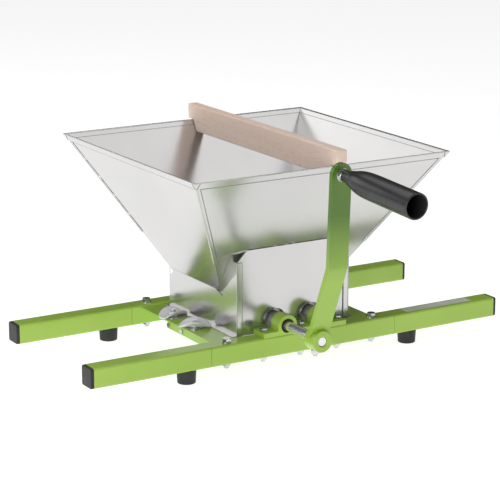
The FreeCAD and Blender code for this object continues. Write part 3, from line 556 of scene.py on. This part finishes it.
def makeArris(name, signX, signY, flangeOnEnd, dashed):
    # a rounded fold with its flange lying on one of the two sheets, and a dark strip of painted shade along
    # the open edge of that flange
    top = funnelPoint(signX, signY, rimHeight - hopper["hemWidth"])
    bottom = funnelPoint(signX, signY, leftPanelTop + arris["footLift"])
    along = (top - bottom).normalized()
    normalX, normalY = sideNormals(signX, signY)
    out = (normalX + normalY).normalized()
    side = along.cross(out).normalized()
    lying = normalY if flangeOnEnd else normalX
    inward = along.cross(lying).normalized()
    if inward.dot(Vector((signX, signY, 0))) > 0:
        inward.negate()
    half, sink = arris["ribWidth"] / 2, arris["sink"]
    rib = []
    for step in range(arris["ribSteps"] + 1):
        angle = step * math.pi / arris["ribSteps"]
        rib.append((math.cos(angle) * half, math.sin(angle) * half * arris["ribShare"]))
    start, width, thick = arris["flangeStart"], arris["flangeWidth"], arris["flangeThick"]
    ease = arris["flangeEase"]
    flange = [(start, -sink), (start, thick * arris["startShare"]), (start + ease, thick),
              (width - ease, thick), (width, thick * arris["edgeShare"]), (width, -sink)]
    ends = [bottom, top]
    makeSheetPiece(name, [sweptShape([point - out * sink for point in ends], rib, [(side, out)] * 2),
                          sweptShape(ends, flange, [(inward, lying)] * 2)], "sheet")
    reach = inward * (width + arris["lineGap"])
    count = arris["dashes"] if dashed else 1
    share = arris["dashShare"] if dashed else 1.0
    lines, tacks = [], []
    for index in range(count):
        first = bottom.lerp(top, index / count) + reach
        last = bottom.lerp(top, (index + share) / count) + reach
        lines.append(flatStrip(first, last, inward, lying, arris["lineWidth"], arris["lineThick"]))
        if dashed:
            tack = bottom.lerp(top, (index + (1 + share) / 2) / count) + reach
            tacks.append(bead(tack, lying, along, arris["tackLength"], arris["tackWidth"],
                              arris["tackHeight"]))
    # the flange edge lines are painted shade: dark strips where the flange's edge casts a thin shadow
    makeSheetPiece(name + "_edge", lines, "seam" if dashed else "softSeam")
    if tacks:
        makeSheetPiece(name + "_tacks", tacks, "sheet")


for signX, side in ((-1, "left"), (1, "right")):
    makeArris("front_" + side + "_arris", signX, -1, True, False)
    makeArris("rear_" + side + "_arris", signX, 1, False, True)

panelSeam = dict(width=0.0009, thick=0.0003, chamfer=0.015, footRise=0.0008, tackPlaces=(0.30, 0.42, 0.50),
                 tackLength=0.0060, tackWidth=0.0022, tackHeight=0.0008, sideOut=0.00105, sideNotch=0.0093,
                 sideFrontGap=0.008, sideShare=0.8, cornerInset=0.0009, flangeInset=0.0078, flangeShare=0.6,
                 flangeLift=0.001)


def makePanelSeams():
    # dark strips of painted shade along the open joints where the panels meet the funnel and the plates, and
    # along the panels' flanges, with tack welds along the panel tops
    lines, tacks, flanges = [], [], []
    forward, sideways = Vector((0, 1, 0)), Vector((1, 0, 0))
    wide, thick, chamfer = panelSeam["width"], panelSeam["thick"], panelSeam["chamfer"]
    for name, sign in (("front_panel", -1), ("rear_panel", 1)):
        low, high, middle = nodeBox(name)
        face = low.y if sign < 0 else high.y
        half = (high.x - low.x) / 2
        top = high.z - wide / 2
        first = Vector((middle.x - half + chamfer, face, top))
        last = Vector((middle.x + half - chamfer, face, top))
        lines.append(flatStrip(first, last, upward, forward * sign, wide, thick))
        foot = low.z + panelSeam["footRise"] / 2
        lines.append(flatStrip(Vector((low.x, face, foot)), Vector((high.x, face, foot)), upward,
                               forward * sign, panelSeam["footRise"], thick))
        for share in panelSeam["tackPlaces"]:
            tacks.append(bead(first.lerp(last, share) + upward * wide, forward * sign, sideways,
                              panelSeam["tackLength"], panelSeam["tackWidth"], panelSeam["tackHeight"]))
    panelHigh = nodeBox("front_panel")[1]
    panelX = panelHigh.x + panelSeam["sideOut"]
    for name, sign in (("left_panel", -1), ("right_panel", 1)):
        sideTop = nodeBox(name)[1].z
        reach = rimHalfWidth - (rimHeight - sideTop) * slopeY - panelSeam["sideNotch"]
        level = sideTop - wide / 2
        front = Vector((sign * panelX, hopperY - reach + panelSeam["sideFrontGap"], level))
        rear = Vector((sign * panelX, hopperY + reach, level))
        lines.append(flatStrip(front, rear, upward, sideways * sign, wide * panelSeam["sideShare"], thick))
    low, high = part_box("left_panel")
    foot = low.z + panelSeam["flangeLift"]
    corner = panelHigh.z - chamfer
    for signX in (-1, 1):
        for signY, face in ((-1, low.y), (1, high.y)):
            # painted shade lines at the rounded corner and the free edge of each flange
            for inset in (panelSeam["cornerInset"], panelSeam["flangeInset"]):
                across = signX * (panelX - inset)
                flanges.append(flatStrip(Vector((across, face, foot)), Vector((across, face, corner)),
                                         sideways, forward * signY, wide * panelSeam["flangeShare"], thick))
    # the flange edge and joint lines are painted shade; the tacks are real heat-tinted welds
    makeSheetPiece("panel_flange_shade_lines", flanges, "softSeam")
    makeSheetPiece("panel_joint_shade_lines", lines, "seam")
    makeSheetPiece("panel_tacks", tacks, "tack")


makePanelSeams()
print("hopper seams made")

barStick = dict(mouthGap=0.001, seatGap=0.0002, rounding=0.0014, roundingSteps=4)


def makeBar():
    # a plank notched at both ends to sit between the rims, its lower part tapered like the funnel
    low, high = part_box("pusher_bar")
    inside = rimHalfWidth - hopper["sheet"] - barStick["mouthGap"]
    mouthFront, mouthRear = hopperY - inside, hopperY + inside
    taper = (rimHeight - low.z) * slopeY
    seat = rimHeight + hopper["rollHeight"] + barStick["seatGap"]
    outline = [(low.y, high.z), (low.y, seat), (mouthFront, seat), (mouthFront + taper, low.z),
               (mouthRear - taper, low.z), (mouthRear, seat), (high.y, seat), (high.y, high.z)]
    points = [Vector((x, y, z)) for x in (low.x, high.x) for y, z in outline]
    count = len(outline)
    faces = [tuple(range(count)), tuple(range(count, 2 * count))[::-1]]
    faces += [(k, (k + 1) % count, count + (k + 1) % count, count + k) for k in range(count)]
    piece = makePiece("beech_bar", points, faces, "beech", "pusher_bar")
    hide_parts("pusher_bar")
    roundEdges(piece, barStick["rounding"], barStick["roundingSteps"])


makeBar()
print("bar made")

wingNut = dict(halfLength=0.0205, halfWidth=0.0150, holeRadius=0.0034, flatHalf=0.0040, bendRadius=0.0060,
               foldAngle=52.0, crown=0.0016, droop=7.0, thickness=0.0013, lift=0.0008, steps=72, rings=10,
               collarRadius=0.0056, collarHeight=0.0052, collarFoot=0.0004, collarSteps=48,
               collarTop=((0.0008, 0.0005), (0.0002, 0.0011), (0.0, 0.0016)),  # how far down and how far in
               turns=dict(left_rear=12.0, left_front=-30.0, right_rear=-12.0, right_front=30.0))


def foldAcross(across):
    # the flat blank bends up along two lines, one each side of the stud
    size = abs(across)
    sign = 1 if across >= 0 else -1
    flat, radius, full = wingNut["flatHalf"], wingNut["bendRadius"], math.radians(wingNut["foldAngle"])
    if size <= flat:
        return across, 0.0
    bend = min((size - flat) / radius, full)
    beyond = max(size - flat - radius * full, 0.0)
    reach = flat + radius * math.sin(bend) + beyond * math.cos(full)
    return sign * reach, radius * (1 - math.cos(bend)) + beyond * math.sin(full)


def makeWingNut(place, turn):
    # an oval blank with a hole, folded into two wings, and the short neck that is tapped for the stud
    low, _, middle = nodeBox(place + "_wing_nut")
    base = Vector((middle.x, middle.y, low.z + wingNut["lift"]))
    angle = math.radians(turn)
    long = Vector((math.cos(angle), math.sin(angle), 0))
    wide = Vector((-math.sin(angle), math.cos(angle), 0))
    steps, rings, hole = wingNut["steps"], wingNut["rings"], wingNut["holeRadius"]
    points, faces = [], []
    for ring in range(rings + 1):
        share = ring / rings
        for step in range(steps):
            around = 2 * math.pi * step / steps
            holeLong, holeWide = hole * math.cos(around), hole * math.sin(around)
            outerLong = wingNut["halfLength"] * math.cos(around)
            outerWide = wingNut["halfWidth"] * math.sin(around)
            alongLong = holeLong + (outerLong - holeLong) * share
            across, rise = foldAcross(holeWide + (outerWide - holeWide) * share)
            crown = max(wingNut["crown"] - wingNut["droop"] * alongLong * alongLong * 0.5, 0.0)
            points.append(base + long * alongLong + wide * across + upward * (rise + crown))
    for ring in range(rings):
        for step in range(steps):
            after = (step + 1) % steps
            faces.append((ring * steps + step, (ring + 1) * steps + step, (ring + 1) * steps + after,
                          ring * steps + after))
    body = place + "_wing_nut"
    wings = makePiece(place + "_pressed_wings", points, faces, "pressed", body, 60.0)
    thicken = wings.modifiers.new("plate", "SOLIDIFY")
    thicken.thickness = wingNut["thickness"]
    thicken.offset = 0.0
    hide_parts(body)
    radius, tall, foot = wingNut["collarRadius"], wingNut["collarHeight"], wingNut["collarFoot"]
    collar = [(-foot, hole), (-foot, radius)]
    collar += [(tall - down, radius - inside) for down, inside in wingNut["collarTop"]]
    collar.append((tall - foot, hole))
    points, faces = turnedShape(collar, base, upward, wingNut["collarSteps"], closed=True)
    makePiece(place + "_nut_collar", points, faces, "pressed", body, 40.0)


for place, turn in wingNut["turns"].items():
    makeWingNut(place, turn)
print("wing nuts made")

# the outlines are (distance from the inner end, radius over the neck's, the shoulder's or the body's)
handGrip = dict(lean=3.0, length=0.142, neck=0.0074, shoulder=0.0094, body=0.0157, wall=0.0024, floor=0.044,
                floorRise=0.010, floorEase=0.0035, boltHole=0.0043, tipRounding=0.0008, lipRounding=0.0012,
                lipSteps=5, lipEase=0.0006, segments=96, shoulderSteps=6,
                neckOutline=((0.0, -0.0010), (0.0010, 0.0), (0.0125, 0.0003)),
                shoulderOutline=((0.0132, -0.0003), (0.0150, 0.0004), (0.0200, 0.0014)),
                bodyOutline=((0.0290, -0.0026), (0.0380, -0.0011), (0.0480, -0.0003), (0.0600, 0.0)))


def makeGrip():
    # a hollow moulding, necked at the arm and open at its outer end
    lean = math.radians(handGrip["lean"])
    axis = Vector((0, -math.cos(lean), -math.sin(lean)))
    washers = nodeBox("handle_washers")[2]
    length, body, neck, floor = (handGrip[key] for key in ("length", "body", "neck", "floor"))
    bore = body - handGrip["wall"]
    tipY = nodeBox("grip")[0].y + (body - handGrip["tipRounding"]) * math.sin(lean)
    start = washers + axis * ((washers.y - tipY) / math.cos(lean) - length)
    outside = [(distance, neck + more) for distance, more in handGrip["neckOutline"]]
    knots = [(distance, handGrip["shoulder"] + more) for distance, more in handGrip["shoulderOutline"]]
    knots += [(distance, body + more) for distance, more in handGrip["bodyOutline"]]
    outside += smoothOutline(knots, handGrip["shoulderSteps"])
    lip = handGrip["lipRounding"]
    for step in range(handGrip["lipSteps"] + 1):
        angle = math.pi / 2 * step / handGrip["lipSteps"]
        outside.append((length - lip + lip * math.sin(angle), body - lip + lip * math.cos(angle)))
    inside = [(length, bore + handGrip["lipEase"]), (length - handGrip["tipRounding"], bore),
              (floor + handGrip["floorRise"], bore), (floor, bore - handGrip["floorEase"]),
              (floor, handGrip["boltHole"]), (0.0, handGrip["boltHole"])]
    points, faces = turnedShape(outside + inside, start, axis, handGrip["segments"], closed=True)
    piece = makePiece("moulded_grip", points, faces, "grip", "hand_grip", 42.0)
    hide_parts("grip")


makeGrip()
print("grip made")

hubWeld = dict(beads=15, sweep=150.0, length=0.0052, width=0.0036, height=0.0016, sink=0.0002,
               runs=(0.0105, 0.0177))  # the runs' distances from the hub's front face


def makeHubWelds():
    # two runs of small overlapping beads where the arm's foot straddles the hub
    low, high, middle = nodeBox("crank_hub")
    radius = (high.x - low.x) / 2
    shapes = []
    for run in hubWeld["runs"]:
        for index in range(hubWeld["beads"]):
            angle = math.radians((index / (hubWeld["beads"] - 1) - 0.5) * hubWeld["sweep"])
            normal = Vector((math.sin(angle), 0, math.cos(angle)))
            along = Vector((math.cos(angle), 0, -math.sin(angle)))
            point = Vector((middle.x, low.y + run, middle.z)) + normal * (radius - hubWeld["sink"])
            shapes.append(bead(point, normal, along, hubWeld["length"], hubWeld["width"], hubWeld["height"]))
    points, faces = mergeShapes(shapes)
    makePiece("crank_hub_welds", points, faces, "green", "drive_rotor", 60.0)


makeHubWelds()
print("welds made")

view = dict(aim=(0.01640, 0.11882), azimuth=-31.558, elevation=14.627, distance=2.5691, roll=0.154,
            lens=144.515, shift=(-0.0367, -0.0011), sensor=36.0, farthest=50.0)


def makeCamera(spec):
    azimuth, elevation, roll = (math.radians(spec[key]) for key in ("azimuth", "elevation", "roll"))
    forward = Vector((-math.sin(azimuth) * math.cos(elevation), math.cos(azimuth) * math.cos(elevation),
                      -math.sin(elevation)))
    right = Vector((math.cos(azimuth), math.sin(azimuth), 0))
    up = right.cross(forward)
    tiltedRight = right * math.cos(roll) + up * math.sin(roll)
    tiltedUp = up * math.cos(roll) - right * math.sin(roll)
    aim = Vector((spec["aim"][0], middleY, spec["aim"][1]))
    turn = Matrix((tiltedRight, tiltedUp, -forward)).transposed()
    lens = bpy.data.cameras.new("camera")
    lens.lens = spec["lens"]
    lens.sensor_width = spec["sensor"]
    lens.shift_x, lens.shift_y = spec["shift"]
    lens.clip_end = spec["farthest"]
    camera = bpy.data.objects.new("camera", lens)
    camera.matrix_world = Matrix.Translation(aim - forward * spec["distance"]) @ turn.to_4x4()
    scene.collection.objects.link(camera)
    scene.camera = camera


makeCamera(view)


# places and sizes in metres, places from the point of the floor midway between the rails
softboxes = (dict(name="overheadSoftbox", place=(-0.2, 0.3, 2.0), size=(2.4, 2.4), power=22.0),
             dict(name="leftSoftbox", place=(-2.1, -1.4, 0.8), size=(1.6, 1.4), power=22.0),
             dict(name="mouthSoftbox", place=(1.25, -1.45, 1.75), size=(1.5, 1.5), power=7.5),  # rear sheet
             dict(name="backSoftbox", place=(-1.25, 2.15, 0.95), size=(1.8, 1.1), power=8.5))  # right sheet
lightAim = Vector((0, middleY, 0.12))


def makeSoftbox(spec):
    light = bpy.data.lights.new(spec["name"], "AREA")
    light.shape = "RECTANGLE"
    light.size, light.size_y = spec["size"]
    light.energy = spec["power"]
    box = bpy.data.objects.new(spec["name"], light)
    across, along, height = spec["place"]
    box.location = (across, middleY + along, height)
    box.rotation_euler = (lightAim - box.location).to_track_quat("-Z", "Y").to_euler()
    scene.collection.objects.link(box)


for softbox in softboxes:
    makeSoftbox(softbox)

studio = dict(frontStrength=0.40, rearStrength=1.25, dimSide=(-0.523, -0.852, 0.0), turnBand=(-0.4, 0.7),
              floorHalf=40.0, floorGlow=0.86, floorRoughness=0.85, floorSpecular=0.1, paper=(0.43, 0.46),
              mottleScale=3.0)


def makeWorld():
    # a pale room that is dimmer on the side that dimSide points to
    world = bpy.data.worlds.new("studioWorld")
    world.use_nodes = True
    tree = world.node_tree
    backdrop = tree.nodes["Background"]
    facing = put(tree, "ShaderNodeTexCoord").outputs["Generated"]
    towards = put(tree, "ShaderNodeVectorMath", {0: facing, 1: studio["dimSide"]}, operation="DOT_PRODUCT")
    strength = spread(tree, towards.outputs["Value"], *studio["turnBand"], studio["rearStrength"],
                      studio["frontStrength"])
    tree.links.new(strength, backdrop.inputs["Strength"])
    scene.world = world


makeWorld()
scene.view_settings.view_transform = "Standard"


def makeFloor():
    # plain paper that glows a little, so it stays pale from every side
    half = studio["floorHalf"]
    mesh = bpy.data.meshes.new("studioFloor")
    corners = [(-half, -half, 0), (half, -half, 0), (half, half, 0), (-half, half, 0)]
    mesh.from_pydata(corners, [], [(0, 1, 2, 3)])
    finish, tree, shader = startFinish("litPaper", roughness=studio["floorRoughness"])
    mottle = grain(tree, studio["mottleScale"], detail=4.0)
    low, high = studio["paper"]
    join(tree, blendColours(tree, mottle, (low, low, low), (high, high, high)), shader, "Base Color")
    shader.inputs["Specular IOR Level"].default_value = studio["floorSpecular"]
    shader.inputs["Emission Color"].default_value = (1, 1, 1, 1)
    shader.inputs["Emission Strength"].default_value = studio["floorGlow"]
    mesh.materials.append(finish)
    floor = bpy.data.objects.new("studioFloor", mesh)
    scene.collection.objects.link(floor)


makeFloor()
print("studio made")

bpy.context.view_layer.update()
